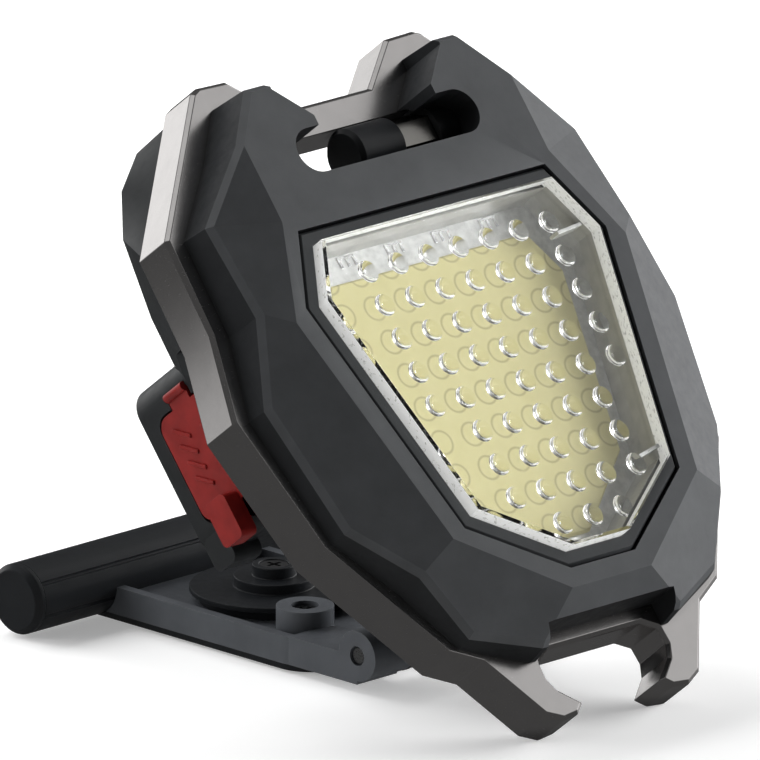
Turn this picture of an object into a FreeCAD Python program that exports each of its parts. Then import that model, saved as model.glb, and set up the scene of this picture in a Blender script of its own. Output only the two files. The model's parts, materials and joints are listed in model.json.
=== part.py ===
import math

import FreeCAD
import Part

# Pocket work light: a metal tool frame sandwiched between a faceted front bezel and a
# rear case, on a fold-out stand with a magnet.  Millimetres, +Z up, the light looks
# towards -Y.  The row origin is on the ground at the centre of the stand's magnet.
# The head is drawn upright in its own frame: x across, z up, and y the depth behind the
# front face of the metal frame, so the bezel has negative y.  head_to_world leans it back.

# ---- pose of the head on the stand ----
HEAD_LEAN = 38.55            # degrees the head leans back from upright
HINGE_DEPTH = 19.2           # hinge axis behind the frame's front face, in the head
HINGE_DROP = 15.8            # hinge axis below the head's middle
HINGE_Y = -20.25             # hinge axis in the row frame
HINGE_Z = 3.3

# ---- head: depths behind the metal frame's front face ----
FACE_Y = -5.4                # flat front of the bezel
SHOULDER_Y = -3.5            # lip corner at the shoulder; it sets the slope of every facet
LIP_STEP = 0.7               # depth of the narrow chamfer under the facets
LIP_CHAMFER = 0.5            # its width
SKIRT_DRAFT = 0.35           # how far the bezel's side widens down to the metal frame
FRAME_T = 4.8                # metal frame thickness
FRAME_CHAMFER = 0.35
CASE_Y = 9.0                 # back of the case's outer part
BLOCK_Y = 16.3               # back of the case's middle block
SPINE_Y = 16.0               # back of the spine that carries the hinge
WALL = 1.2                   # case wall behind the cell

# ---- half outlines, x and z, from the top centre down the right side ----
FRAME_HALF = [(5.5, 29.9), (10.1, 34.0), (13.7, 34.1), (14.6, 33.7), (25.6, 21.0), (25.9, 11.3),
              (28.2, 2.8), (25.4, -10.6), (17.2, -23.3), (13.9, -25.0), (9.9, -31.2), (8.0, -32.1),
              (6.0, -31.9), (4.9, -31.0), (7.0, -29.2), (7.6, -27.9), (7.5, -26.3), (5.9, -25.4)]
FLAT_HALF = [(13.0, 30.75), (16.9, 26.0), (16.9, 18.15), (20.9, 8.7), (15.5, -14.6), (5.0, -22.0)]
LIP_HALF = [(13.0, 30.75), (16.9, 26.0), (22.9, 20.0), (23.2, 10.5), (25.6, 2.5), (23.3, -10.2),
            (18.8, -16.3), (15.3, -22.5), (8.6, -25.3)]
LENS_HALF = [(14.6, 15.3), (17.3, 9.6), (12.2, -12.9), (3.6, -18.5)]
PHOSPHOR_HALF = [(12.5, 12.0), (14.6, 7.75), (10.9, -10.0), (3.0, -16.5)]
CASE_FRONT_HALF = [(9.5, 32.6), (13.6, 33.2), (19.9, 26.4), (24.4, 20.8), (24.9, 11.3), (27.0, 2.8),
                   (24.3, -10.3), (16.3, -22.5), (9.6, -25.2)]
CASE_BACK_HALF = [(9.9, 31.4), (15.6, 32.3), (19.4, 29.2), (21.9, 24.8), (23.1, 17.0), (23.3, 3.4),
                  (21.3, -8.0), (14.0, -20.3), (9.0, -23.6)]
# each facet of the bezel: the two flat corners and the lip corners it joins
FACETS = [((1, 2), (2,)), ((2, 3), (2, 3)), ((3, 4), (3, 4, 5, 6)), ((4, 5), (6, 7, 8))]
NOTCH_HALF = 8.0             # opening of the bezel over the bottom claws
NOTCH_TOP = -24.0
FACE_SCREW_TIP = -2.0        # how far the case screws reach into the bezel

# ---- key slot across the head's top ----
SLOT_Z = 23.9
SLOT_R = 2.2
SLOT_HALF = 11.3
FRAME_SLOT = (21.4, 26.9)    # bottom and top of the slot in the metal frame
FRAME_SLOT_R = 1.2
MOUTH_HALF = [(10.7, 40.0), (10.7, 30.5), (7.4, 27.1), (7.4, 23.9)]   # between the horns
HORN_GAP_HALF = [(9.6, 40.0), (5.6, 30.2)]                            # the same, in the case

# ---- light unit ----
LENS_FRONT = -6.8
LENS_PLATE_T = 2.2
LENS_SEAT = -2.6             # back of the lens flange
LENS_CHAMFER = 0.25
LENS_WALL = 0.5
FLANGE_T = 0.6
FLANGE = 1.2                 # flange beyond the lens outline
GASKET_T = 0.3
RING_GAP = 0.18              # dark groove between bezel and trim ring
RING_W = 1.5
RING_SUNK = 0.15             # the ring lies this far below the bezel's face
RING_CHAMFER = 0.25
REFLECTOR_FRONT = -2.5
LIGHT_BOARD_T = 1.0          # its back lies on the plane of the frame's front face
PHOSPHOR_T = 0.5
PHOSPHOR_CHAMFER = 0.2
SPREADER_T = 1.0
DOT_PITCH_X = 3.82
DOT_PITCH_Z = 3.44
DOT_TOP_Z = 11.5
DOT_SHIFT_X = 1.1            # the dot grid sits off centre
DOT_ROWS = [3, 3, 3, 3, 3, 2, 2, 2, 1]   # dots each side of the middle one, row by row
DOT_R = 1.1
DOT_H = 0.5

# ---- driver bit in the key slot ----
BIT_Y = 0.3
BIT_Z = 24.2
BIT_HEX = 4.0
BIT_COLLAR_R = 2.6
BIT_COLLAR_CHAMFER = 0.4
BIT_TIP_CHAMFER = 0.7
BIT_START = -1.0
BIT_COLLAR_END = 4.4
BIT_END = 15.6
BIT_ENGAGED = 3.7            # length of the hexagon inside the collar
BIT_CHANNEL_R = 2.8          # hollow in the bezel's back for the bit
SLEEVE_START = 8.8
SLEEVE_END = 16.2
SLEEVE_DEPTH = 4.75

# ---- middle block: charging port on the left, power button on the right ----
BLOCK_HALF = 24.0
BLOCK_Z = (-4.7, 12.5)
BLOCK_CAVITY_HALF = 21.8
PORT_Z = 3.4
PORT_Y = 9.4
PORT_W = 8.94
PORT_H = 3.16
SOCKET_X = (-22.7, -15.4)    # open end and closed end of the charging socket
SOCKET_WALL = 0.3
COVER_LEN = 10.4             # plate of the port cover
COVER_W = 8.0
COVER_TAB_HALF = 1.4         # tab above the plate, in the middle of its width
COVER_TAB_H = 1.2
COVER_T = 1.2
COVER_PROUD = 0.15           # how far the cover stands out of its pocket
BEAD_R = 0.45                # round bead the port cover turns on
PULL_TAB_HALF = 1.5          # tab below the plate, on the outside of the block
PULL_TAB_Z = (-5.2, -0.8)
PULL_TAB_OUT = 1.9
FOOT_W = 3.4                 # small feet under the block's ends
FOOT_Y = (12.0, 15.2)
FOOT_DROP = 1.3
FOOT_CORNER = 0.9
BLOCK_STEP = 0.4             # the shell stops this far behind the frame beside the block
BLOCK_CORNER = 2.6
BLOCK_CHAMFER = 0.9
BLOCK_WALL = 1.5
OPENING_CORNER = 1.6
SPINE_FOOT = (8.4, 10.5, -21.0)    # half width, top and bottom of the spine on the case
SPINE_CREST = (6.2, 9.0, -19.4)    # the same at its back
BUTTON_LEN = 9.0
BUTTON_W = 5.0
BUTTON_TRAVEL = 0.5
BUTTON_PROUD = 0.8
SWITCH_X = (16.0, 19.2)
SWITCH_HALF = 2.2
SWITCH_H = 3.4
STEM_R = 0.9
STEM_END = 20.0
BOARD_T = 0.8
BOARD_X = (-21.4, 20.5)
BOARD_EDGE = 1.8             # board edge inside the block's edge
BOARD_Y = PORT_Y - PORT_H / 2 - BOARD_T - 0.02   # the socket sits on the board's back

# ---- control board parts: x range, z range, height ----
DRIVER_CHIP = (-2.5, 2.5, 3.2, 7.2, 1.0)
CHARGE_CHIP = (-9.5, -6.5, -1.5, 1.5, 0.9)
CAPACITOR = (-1.8, -0.2, -2.4, -1.6, 0.7)
CAPACITOR_PITCH = 2.6
CAPACITORS = 4
INDUCTOR_SPOT = (7.5, 5.5)
INDUCTOR_R = 2.0
INDUCTOR_H = 2.4

# ---- battery and leads ----
CELL_HALF = 12.3
CELL_Y = (1.75, 5.75)
CELL_Z = (-12.0, 13.0)
FOAM_T = 0.65                # pad between the heat spreader and the cell
LEAD_R = 0.35
LED_LEAD_X = 1.2
LED_LEAD_Z = -17.6
CELL_LEAD_X = 4.0
CELL_LEAD_Y = 3.7            # where the leads leave the cell
CELL_LEAD_Z = 14.4
LEAD_BACK_Y = 6.3
LEAD_EDGE = 2.6              # solder points inside the block's edge

# ---- screws ----
SCREW_SPOTS = [(20.7, 14.6), (18.3, -13.6)]
SCREW_R = 0.8
SCREW_HEAD_R = 1.5
SCREW_HEAD_T = 0.9
SCREW_SEAT = 6.4
SLACK = 0.1                  # clearance around screws, leads and covers

# ---- stand ----
STAND_HALF = 9.5
STAND_FRONT = -14.45
STAND_CORNER = 4.0
RIM_Z = 3.2
FLOOR_Z = 2.4
RIM_W = 1.0
BASE_T = 0.6                 # bottom cover
KNUCKLE_R = 2.35
LUG_HALF = 3.9
KNUCKLE_START = 4.3
KNUCKLE_END = 9.4
PIN_R = 0.9
RUNNING = 0.03               # radial clearance of the hinge pin in the head's lug
SNUG = 0.01
BAR_R = 3.3
BAR_HALF = 19.4
BAR_Y = 14.05
BAR_Z = 3.35
BAR_BORE_R = 2.3
GRIP_LINES = (35, 145, 200)  # angles of the lines along the foot bar
GRIP_LINE_R = 0.22
CAP_T = 1.0
CAP_CHAMFER = 0.5
CAP_PLUG = 3.0               # how far an end cap reaches into the bar
MAGNET_R = 6.0
MAGNET_BAY_T = 1.2
MAGNET_T = 0.78
KEEPER_R = 6.3
KEEPER_T = 0.36
MAGNET_HOLE_R = 1.2
# radius, bottom and top of each step of the magnet retainer above the tray floor
DISC_STEPS = [(6.9, 0.0, 0.9), (7.75, 0.9, 1.4), (3.7, 1.4, 2.35), (2.0, 2.35, 3.4)]
DISC_SEAT = 2.8              # screw seat above the tray floor
MAGNET_SCREW_R = 0.8
MAGNET_SCREW_HEAD_R = 1.3
BOSS_X = 5.15
BOSS_Y = -9.25
BOSS_R = 2.65
BOSS_TOP = 4.9
BOSS_SEAT = BOSS_TOP - 0.9
BOSS_SCREW_R = 0.49
BOSS_SCREW_HEAD_R = 1.2
LOW_HEAD_T = 0.5             # head thickness of the stand's screws

PAST = 1.0                   # cutting shapes run this far past what they cut
FAR = 40.0                   # beyond every part of the head

V = FreeCAD.Vector
X_AXIS = V(1, 0, 0)
Y_AXIS = V(0, 1, 0)
Z_AXIS = V(0, 0, 1)


# ---- small helpers ----

def mirrored(half):
    """Full outline from a half outline that runs down the right side."""
    return half + [(-x, z) for x, z in reversed(half)]


def ring_wire(outline, y):
    points = [V(x, y, z) for x, z in outline]
    return Part.makePolygon(points + [points[0]])


def prism(outline, y0, y1):
    """Solid of an x-z outline between two depths."""
    return Part.Face(ring_wire(outline, y0)).extrude(V(0, y1 - y0, 0))


def grown(outline, distance):
    """The outline moved outwards by a distance, corners kept sharp."""
    area = sum(a[0] * b[1] - b[0] * a[1] for a, b in zip(outline, outline[1:] + outline[:1]))
    side = -1.0 if area > 0 else 1.0
    moved = []
    for i, (x, z) in enumerate(outline):
        px, pz = outline[i - 1]
        nx, nz = outline[(i + 1) % len(outline)]
        a = math.hypot(x - px, z - pz)
        b = math.hypot(nx - x, nz - z)
        n1 = (-(z - pz) / a * side, (x - px) / a * side)
        n2 = (-(nz - z) / b * side, (nx - x) / b * side)
        reach = distance / (1 + n1[0] * n2[0] + n1[1] * n2[1])
        moved.append((x + (n1[0] + n2[0]) * reach, z + (n1[1] + n2[1]) * reach))
    return moved


def box(x0, x1, y0, y1, z0, z1):
    return Part.makeBox(x1 - x0, y1 - y0, z1 - z0, V(x0, y0, z0))


def rod(radius, start, axis, length):
    return Part.makeCylinder(radius, length, start, axis)


def rounded_box(x0, x1, y0, y1, z0, z1, radius, axis):
    """Box whose edges along one axis are rounded."""
    block = box(x0, x1, y0, y1, z0, z1)
    return block.makeFillet(radius, edges_along(block, axis))


def edges_along(shape, axis):
    return [e for e in shape.Edges
            if len(e.Vertexes) == 2 and abs(abs(e.tangentAt(e.FirstParameter).dot(axis)) - 1) < 1e-6]


def edges_at(shape, axis, value):
    """Edges whose points all lie at one coordinate along an axis."""
    return [e for e in shape.Edges
            if all(abs(v.Point.dot(axis) - value) < 1e-6 for v in e.Vertexes)
            and abs(e.CenterOfMass.dot(axis) - value) < 1e-6]


def hex_rod(across_flats, start, length):
    """Hexagonal bar along +X with a flat facing the front."""
    corner = across_flats / math.sqrt(3)
    points = []
    for i in range(7):
        angle = math.radians(60 * i)
        points.append(start + V(0, corner * math.sin(angle), corner * math.cos(angle)))
    return Part.Face(Part.makePolygon(points)).extrude(V(length, 0, 0))


def wire_lead(points, radius):
    """Round insulated lead along straight runs."""
    lead = None
    for start, end in zip(points, points[1:]):
        run = rod(radius, start, end - start, (end - start).Length)
        ball = Part.makeSphere(radius, end)
        piece = run if end is points[-1] else run.fuse(ball)
        lead = piece if lead is None else lead.fuse(piece)
    return lead.removeSplitter()


def cross_recess(centre, axis, across, depth, width=0.35):
    """Cross drive cut, opening towards -axis."""
    side = X_AXIS if abs(axis.dot(X_AXIS)) < 0.5 else Y_AXIS
    up = axis.cross(side)
    cut = None
    for a, b in ((side, up), (up, side)):
        corner = centre - a * (across / 2) - b * (width / 2)
        points = [corner, corner + a * across, corner + a * across + b * width, corner + b * width]
        bar = Part.Face(Part.makePolygon(points + [points[0]])).extrude(axis * depth)
        cut = bar if cut is None else cut.fuse(bar)
    return cut


def head_to_world(shape):
    """Lean an upright head part back about the hinge and set it on the stand."""
    placed = shape.copy()
    placed.translate(V(0, -HINGE_DEPTH, HINGE_DROP))
    placed.rotate(V(0, 0, 0), X_AXIS, -HEAD_LEAN)
    placed.translate(V(0, HINGE_Y, HINGE_Z))
    return placed


def save(name, shape, in_head):
    placed = head_to_world(shape) if in_head else shape
    placed.exportStep("parts/%s.step" % name)


# ---- shared head outlines ----

FRAME = mirrored(FRAME_HALF)
LENS = mirrored(LENS_HALF)
PHOSPHOR = mirrored(PHOSPHOR_HALF)


def slot_through(y0, y1):
    """The key slot and its mouth between the horns."""
    core = box(-SLOT_HALF + SLOT_R, SLOT_HALF - SLOT_R, y0, y1, SLOT_Z - SLOT_R, SLOT_Z + SLOT_R)
    for side in (-1, 1):
        end = V(side * (SLOT_HALF - SLOT_R), y0, SLOT_Z)
        core = core.fuse(rod(SLOT_R, end, Y_AXIS, y1 - y0))
    return core.fuse(prism(mirrored(MOUTH_HALF), y0, y1))


def screw_holes(radius, y0, y1):
    holes = [rod(radius, V(side * x, y0, z), Y_AXIS, y1 - y0)
             for x, z in SCREW_SPOTS for side in (-1, 1)]
    return Part.makeCompound(holes)


# ---- head: metal frame ----

def metal_frame():
    plate = prism(FRAME, 0, FRAME_T)
    outer = edges_at(plate, Y_AXIS, 0) + edges_at(plate, Y_AXIS, FRAME_T)
    plate = plate.makeChamfer(FRAME_CHAMFER, outer)
    front, back = -PAST, FRAME_T + PAST
    slot = rounded_box(-SLOT_HALF, SLOT_HALF, front, back, *FRAME_SLOT, FRAME_SLOT_R, Y_AXIS)
    pocket = box(SLOT_HALF - FRAME_SLOT_R, SLEEVE_END + SLACK / 2, front, back, *FRAME_SLOT)
    light_opening = prism(grown(LENS, FLANGE + SLACK / 2), front, back)
    plate = plate.cut(slot).cut(pocket).cut(light_opening)
    return plate.cut(screw_holes(SCREW_R + SLACK, front, back))


# ---- head: front bezel ----

def reach(point, a, b):
    """How far an x-z point lies outside the line through two corners."""
    run_x, run_z = b[0] - a[0], b[1] - a[1]
    return abs(run_x * (point[1] - a[1]) - run_z * (point[0] - a[0])) / math.hypot(run_x, run_z)


def lip_depths():
    """Depth of each lip corner, so that every facet is one plane through its flat edge."""
    depths = {0: FACE_Y, 1: FACE_Y, 2: SHOULDER_Y}
    for (a, b), lips in FACETS[1:]:
        edge = FLAT_HALF[a], FLAT_HALF[b]
        slope = (depths[lips[0]] - FACE_Y) / reach(LIP_HALF[lips[0]], *edge)
        for i in lips[1:]:
            depths[i] = FACE_Y + slope * reach(LIP_HALF[i], *edge)
    return [depths[i] for i in range(len(LIP_HALF))]


def bezel_skin():
    """Closed faceted solid of the bezel before its openings are cut."""
    depths = lip_depths()
    depths = depths + depths[::-1]
    lip = mirrored(LIP_HALF)
    flat_ring = [V(x, FACE_Y, z) for x, z in mirrored(FLAT_HALF)]
    lip_ring = [V(x, y, z) for (x, z), y in zip(lip, depths)]
    step_ring = [V(x, y + LIP_STEP, z) for (x, z), y in zip(grown(lip, LIP_CHAMFER), depths)]
    foot_ring = [V(x, 0, z) for x, z in grown(lip, LIP_CHAMFER + SKIRT_DRAFT)]
    last_flat = len(flat_ring) - 1
    last_lip = len(lip_ring) - 1
    outlines = [flat_ring, foot_ring]
    for (a, b), lips in FACETS:
        outlines.append([flat_ring[a], flat_ring[b]] + [lip_ring[i] for i in reversed(lips)])
        outlines.append([flat_ring[last_flat - a], flat_ring[last_flat - b]]
                        + [lip_ring[last_lip - i] for i in reversed(lips)])
    bottom = len(FLAT_HALF) - 1
    bottom_lip = len(LIP_HALF) - 1
    outlines.append([flat_ring[bottom], flat_ring[bottom + 1], lip_ring[bottom_lip + 1], lip_ring[bottom_lip]])
    for upper, lower in ((lip_ring, step_ring), (step_ring, foot_ring)):
        for i in range(len(upper)):
            outlines.append([upper[i - 1], upper[i], lower[i]])
            outlines.append([upper[i - 1], lower[i], lower[i - 1]])
    faces = [Part.Face(Part.makePolygon(points + points[:1])) for points in outlines]
    return Part.Solid(Part.Shell(faces))


def front_bezel():
    body = bezel_skin()
    if body.Volume < 0:
        body.reverse()
    front = FACE_Y - PAST
    body = body.cut(slot_through(front, PAST))
    ring_opening = prism(grown(LENS, RING_GAP + RING_W), front, LENS_SEAT + GASKET_T)
    light_opening = prism(grown(LENS, GASKET_T), front, PAST)
    body = body.cut(ring_opening).cut(light_opening)
    channel_length = SLOT_HALF + SLEEVE_END + SLACK / 2
    bit_channel = rod(BIT_CHANNEL_R, V(-SLOT_HALF, BIT_Y, BIT_Z), X_AXIS, channel_length)
    notch = box(-NOTCH_HALF, NOTCH_HALF, front, PAST, -FAR, NOTCH_TOP)
    body = body.cut(bit_channel).cut(notch)
    return body.cut(screw_holes(SCREW_R, FACE_SCREW_TIP - SLACK, PAST))


# ---- head: light unit ----

def dot_centres():
    for row, each_side in enumerate(DOT_ROWS):
        for column in range(-each_side, each_side + 1):
            yield DOT_SHIFT_X + column * DOT_PITCH_X, DOT_TOP_Z - row * DOT_PITCH_Z


def lens_dots(base_y):
    """Small spherical caps standing on the back of the lens plate."""
    ball_r = (DOT_R ** 2 + DOT_H ** 2) / (2 * DOT_H)
    slab = box(-FAR, FAR, base_y - 0.2, base_y + DOT_H, -FAR, FAR)
    caps = []
    for x, z in dot_centres():
        ball = Part.makeSphere(ball_r, V(x, base_y + DOT_H - ball_r, z))
        caps.append(ball.common(slab))
    return caps


def lens():
    body = prism(LENS, LENS_FRONT, LENS_SEAT)
    body = body.makeChamfer(LENS_CHAMFER, edges_at(body, Y_AXIS, LENS_FRONT))
    flange = prism(grown(LENS, FLANGE), LENS_SEAT - FLANGE_T, LENS_SEAT)
    plate_back = LENS_FRONT + LENS_PLATE_T
    cavity = prism(grown(LENS, -LENS_WALL), plate_back, LENS_SEAT + PAST)
    body = body.fuse(flange).cut(cavity)
    return body.fuse(lens_dots(plate_back)).removeSplitter()


def lens_trim_ring():
    front = FACE_Y + RING_SUNK
    outer = prism(grown(LENS, RING_W), front, LENS_SEAT - FLANGE_T)
    outer = outer.makeChamfer(RING_CHAMFER, edges_at(outer, Y_AXIS, front))
    return outer.cut(prism(grown(LENS, SLACK / 2), front - PAST, 0))


def lens_gasket():
    outer = prism(grown(LENS, FLANGE), LENS_SEAT, LENS_SEAT + GASKET_T)
    return outer.cut(prism(grown(LENS, 0.4), LENS_SEAT - PAST, LENS_SEAT + PAST))


def reflector_frame():
    """White wall around the emitter, sloping outwards to the front."""
    outer = prism(grown(LENS, 0.2), REFLECTOR_FRONT, -LIGHT_BOARD_T)
    inner_back = ring_wire(grown(LENS, -0.6), -LIGHT_BOARD_T + SLACK)
    inner_front = ring_wire(grown(LENS, -0.35), REFLECTOR_FRONT - SLACK)
    inside = Part.makeLoft([inner_back, inner_front], True, True)
    return outer.cut(inside)


def cob_board():
    board = prism(grown(LENS, 0.1), -LIGHT_BOARD_T, 0)
    return board.cut(wire_holes(-LIGHT_BOARD_T - PAST, PAST))


def phosphor_panel():
    front = -LIGHT_BOARD_T - PHOSPHOR_T
    panel = prism(PHOSPHOR, front, -LIGHT_BOARD_T)
    return panel.makeChamfer(PHOSPHOR_CHAMFER, edges_at(panel, Y_AXIS, front))


def heat_spreader():
    plate = prism(grown(LENS, 1.0), SNUG, SPREADER_T)
    return plate.cut(wire_holes(-PAST, SPREADER_T + PAST))


# ---- head: power and control ----

def wire_holes(y0, y1):
    holes = [rod(LEAD_R + SLACK, V(side * LED_LEAD_X, y0, LED_LEAD_Z), Y_AXIS, y1 - y0) for side in (-1, 1)]
    return Part.makeCompound(holes)


def led_wires():
    leads = []
    for side in (-1, 1):
        x = side * LED_LEAD_X
        leads.append(wire_lead([V(x, -LIGHT_BOARD_T + SLACK / 2, LED_LEAD_Z), V(x, LEAD_BACK_Y, LED_LEAD_Z),
                                V(x, LEAD_BACK_Y, BLOCK_Z[0] + LEAD_EDGE),
                                V(x, BOARD_Y - SNUG, BLOCK_Z[0] + LEAD_EDGE)], LEAD_R))
    return Part.makeCompound(leads)


def battery_cell():
    return rounded_box(-CELL_HALF, CELL_HALF, *CELL_Y, *CELL_Z, 1.0, Z_AXIS)


def battery_wires():
    leads = []
    for side in (-1, 1):
        x = side * CELL_LEAD_X
        leads.append(wire_lead([V(x, CELL_LEAD_Y, CELL_Z[1] + SNUG), V(x, CELL_LEAD_Y, CELL_LEAD_Z),
                                V(x, LEAD_BACK_Y, CELL_LEAD_Z), V(x, LEAD_BACK_Y, BLOCK_Z[1] - LEAD_EDGE),
                                V(x, BOARD_Y - SNUG, BLOCK_Z[1] - LEAD_EDGE)], LEAD_R))
    return Part.makeCompound(leads)


def battery_foam():
    front = SPREADER_T + SNUG
    return box(-CELL_HALF, CELL_HALF, front, front + FOAM_T, *CELL_Z)


def control_board():
    board = box(*BOARD_X, BOARD_Y, BOARD_Y + BOARD_T, BLOCK_Z[0] + BOARD_EDGE, BLOCK_Z[1] - BOARD_EDGE)
    return board.makeFillet(0.8, edges_along(board, Y_AXIS))


def board_components():
    """Driver chip, inductor, charge chip and capacitors on the control board's back."""
    back = BOARD_Y + BOARD_T
    x, z = INDUCTOR_SPOT
    parts = [rod(INDUCTOR_R, V(x, back, z), Y_AXIS, INDUCTOR_H)]
    for x0, x1, z0, z1, height in (DRIVER_CHIP, CHARGE_CHIP):
        parts.append(box(x0, x1, back, back + height, z0, z1))
    x0, x1, z0, z1, height = CAPACITOR
    for i in range(CAPACITORS):
        shift = i * CAPACITOR_PITCH
        parts.append(box(x0 + shift, x1 + shift, back, back + height, z0, z1))
    return Part.makeCompound(parts)


def socket_section(x0, x1, wall):
    """Rounded section of the charging socket, a wall thickness inside its outline."""
    half_w = PORT_W / 2 - wall
    half_h = PORT_H / 2 - wall
    return rounded_box(x0, x1, PORT_Y - half_h, PORT_Y + half_h, PORT_Z - half_w, PORT_Z + half_w,
                       half_h - 0.08, X_AXIS)


def usb_socket_shell():
    """Deep-drawn metal shell with an oval section, open towards -X."""
    open_end, closed_end = SOCKET_X
    outer = socket_section(open_end, closed_end, 0)
    return outer.cut(socket_section(open_end - PAST, closed_end - 2 * SOCKET_WALL, SOCKET_WALL))


def usb_socket_tongue():
    root = SOCKET_X[1] - 2 * SOCKET_WALL
    return box(root - 5.0, root, PORT_Y - 0.35, PORT_Y + 0.35, PORT_Z - 3.3, PORT_Z + 3.3)


def power_switch():
    """Tact switch whose stem stops just short of the button's post."""
    back = BOARD_Y + BOARD_T
    body = box(*SWITCH_X, back, back + SWITCH_H, PORT_Z - SWITCH_HALF, PORT_Z + SWITCH_HALF)
    stem = rod(STEM_R, V(SWITCH_X[0] + 1, PORT_Y, PORT_Z), X_AXIS, STEM_END - SWITCH_X[0] - 1)
    return body.fuse(stem)


# ---- head: rear case ----

def cover_prism(clearance, x0, x1):
    """Port cover's outline, a rounded plate with a narrow tab on top, between two x values."""
    half_w = COVER_W / 2 + clearance
    tab_half = COVER_TAB_HALF + clearance
    bottom = PORT_Z - COVER_LEN / 2 - clearance
    shoulder = PORT_Z + COVER_LEN / 2 + clearance
    top = shoulder + COVER_TAB_H
    plate = rounded_box(x0, x1, PORT_Y - half_w, PORT_Y + half_w, bottom, shoulder, 1.4, X_AXIS)
    tab = rounded_box(x0, x1, PORT_Y - tab_half, PORT_Y + tab_half, shoulder - 3, top, 0.6, X_AXIS)
    return plate.fuse(tab).removeSplitter()


def cover_bead(clearance):
    """Round bead along the top of the port cover's tab, which the cover turns on."""
    half = COVER_TAB_HALF + clearance
    start = V(-BLOCK_HALF - COVER_PROUD, PORT_Y - half, PORT_Z + COVER_LEN / 2 + COVER_TAB_H)
    return rod(BEAD_R + clearance, start, Y_AXIS, 2 * half)


def spine_section(half, top, bottom, y):
    return ring_wire([(half, top), (-half, top), (-half, bottom), (half, bottom)], y)


def rear_case_outside():
    """Tapered shell, middle block on small feet, and the spine with the hinge lug."""
    shell = Part.makeLoft([ring_wire(mirrored(CASE_FRONT_HALF), FRAME_T),
                           ring_wire(mirrored(CASE_BACK_HALF), CASE_Y)], True, True)
    for side in (-1, 1):
        x0, x1 = sorted((side * BLOCK_HALF, side * FAR))
        shell = shell.cut(box(x0, x1, FRAME_T + BLOCK_STEP, BLOCK_Y, *BLOCK_Z))
    block = rounded_box(-BLOCK_HALF, BLOCK_HALF, FRAME_T + SLACK, BLOCK_Y, *BLOCK_Z, BLOCK_CORNER, Y_AXIS)
    block = block.makeChamfer(BLOCK_CHAMFER, edges_at(block, Y_AXIS, BLOCK_Y))
    spine = Part.makeLoft([spine_section(*SPINE_FOOT, CASE_Y - PAST),
                           spine_section(*SPINE_CREST, SPINE_Y)], True, True)
    lug = rod(KNUCKLE_R, V(-LUG_HALF, HINGE_DEPTH, -HINGE_DROP), X_AXIS, 2 * LUG_HALF)
    neck = box(-LUG_HALF, LUG_HALF, SPINE_Y - PAST, HINGE_DEPTH,
               -HINGE_DROP - KNUCKLE_R, -HINGE_DROP + KNUCKLE_R)
    feet = []
    for side in (-1, 1):
        x0, x1 = sorted((side * BLOCK_HALF, side * (BLOCK_HALF - FOOT_W)))
        feet.append(rounded_box(x0, x1, *FOOT_Y, BLOCK_Z[0] - FOOT_DROP, BLOCK_Z[0] + 2.0, FOOT_CORNER, X_AXIS))
    return shell.fuse([block, spine, lug.fuse(neck)] + feet).removeSplitter()


def side_opening(x0, x1, half_w, half_h):
    """Rounded opening through a side of the block, around the port's centre line."""
    return rounded_box(x0, x1, PORT_Y - half_h, PORT_Y + half_h, PORT_Z - half_w, PORT_Z + half_w,
                       OPENING_CORNER, X_AXIS)


def rear_case():
    """The outside shape hollowed for the cell and boards and opened for port, button and hinge."""
    front = FRAME_T - PAST
    body = rear_case_outside()
    body = body.cut(slot_through(front, CASE_Y + PAST))
    between_horns = prism(mirrored(HORN_GAP_HALF), front, CASE_Y + PAST)
    cell_bay = prism(grown(LENS, 0.6), front, CASE_Y - WALL)
    block_bay = box(-BLOCK_CAVITY_HALF, BLOCK_CAVITY_HALF, front, BLOCK_Y - BLOCK_WALL,
                    BLOCK_Z[0] + BLOCK_WALL, BLOCK_Z[1] - BLOCK_WALL)
    body = body.cut(between_horns).cut(cell_bay).cut(block_bay)
    pocket = cover_prism(0.25, -BLOCK_HALF - PAST, -BLOCK_HALF + COVER_T + SLACK)
    mouth = side_opening(-BLOCK_HALF - PAST, -BLOCK_CAVITY_HALF + PAST, PORT_W / 2 + SLACK, PORT_H / 2 + SLACK)
    button_hole = side_opening(BLOCK_CAVITY_HALF - PAST, BLOCK_HALF + PAST, BUTTON_LEN / 2 + SLACK,
                               BUTTON_W / 2 + SLACK)
    body = body.cut(pocket).cut(cover_bead(SLACK / 2)).cut(mouth).cut(button_hole)
    hole_end = LUG_HALF + PAST
    pin_hole = rod(PIN_R + RUNNING, V(-hole_end, HINGE_DEPTH, -HINGE_DROP), X_AXIS, 2 * hole_end)
    body = body.cut(pin_hole)
    body = body.cut(screw_holes(SCREW_R + SLACK, front, CASE_Y + PAST))
    return body.cut(screw_holes(SCREW_HEAD_R + 2 * SLACK, SCREW_SEAT, CASE_Y + PAST))


def case_screws():
    screws = []
    for x, z in SCREW_SPOTS:
        for side in (-1, 1):
            shank = rod(SCREW_R - SNUG, V(side * x, FACE_SCREW_TIP, z), Y_AXIS, SCREW_SEAT - FACE_SCREW_TIP)
            head = rod(SCREW_HEAD_R, V(side * x, SCREW_SEAT, z), Y_AXIS, SCREW_HEAD_T)
            top = SCREW_SEAT + SCREW_HEAD_T
            head = head.makeChamfer(0.2, edges_at(head, Y_AXIS, top))
            drive = cross_recess(V(side * x, top + SNUG, z), V(0, -1, 0), 1.7, 0.6)
            screws.append(shank.fuse(head).cut(drive))
    return Part.makeCompound(screws)


# ---- moving small parts of the head ----

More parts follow.
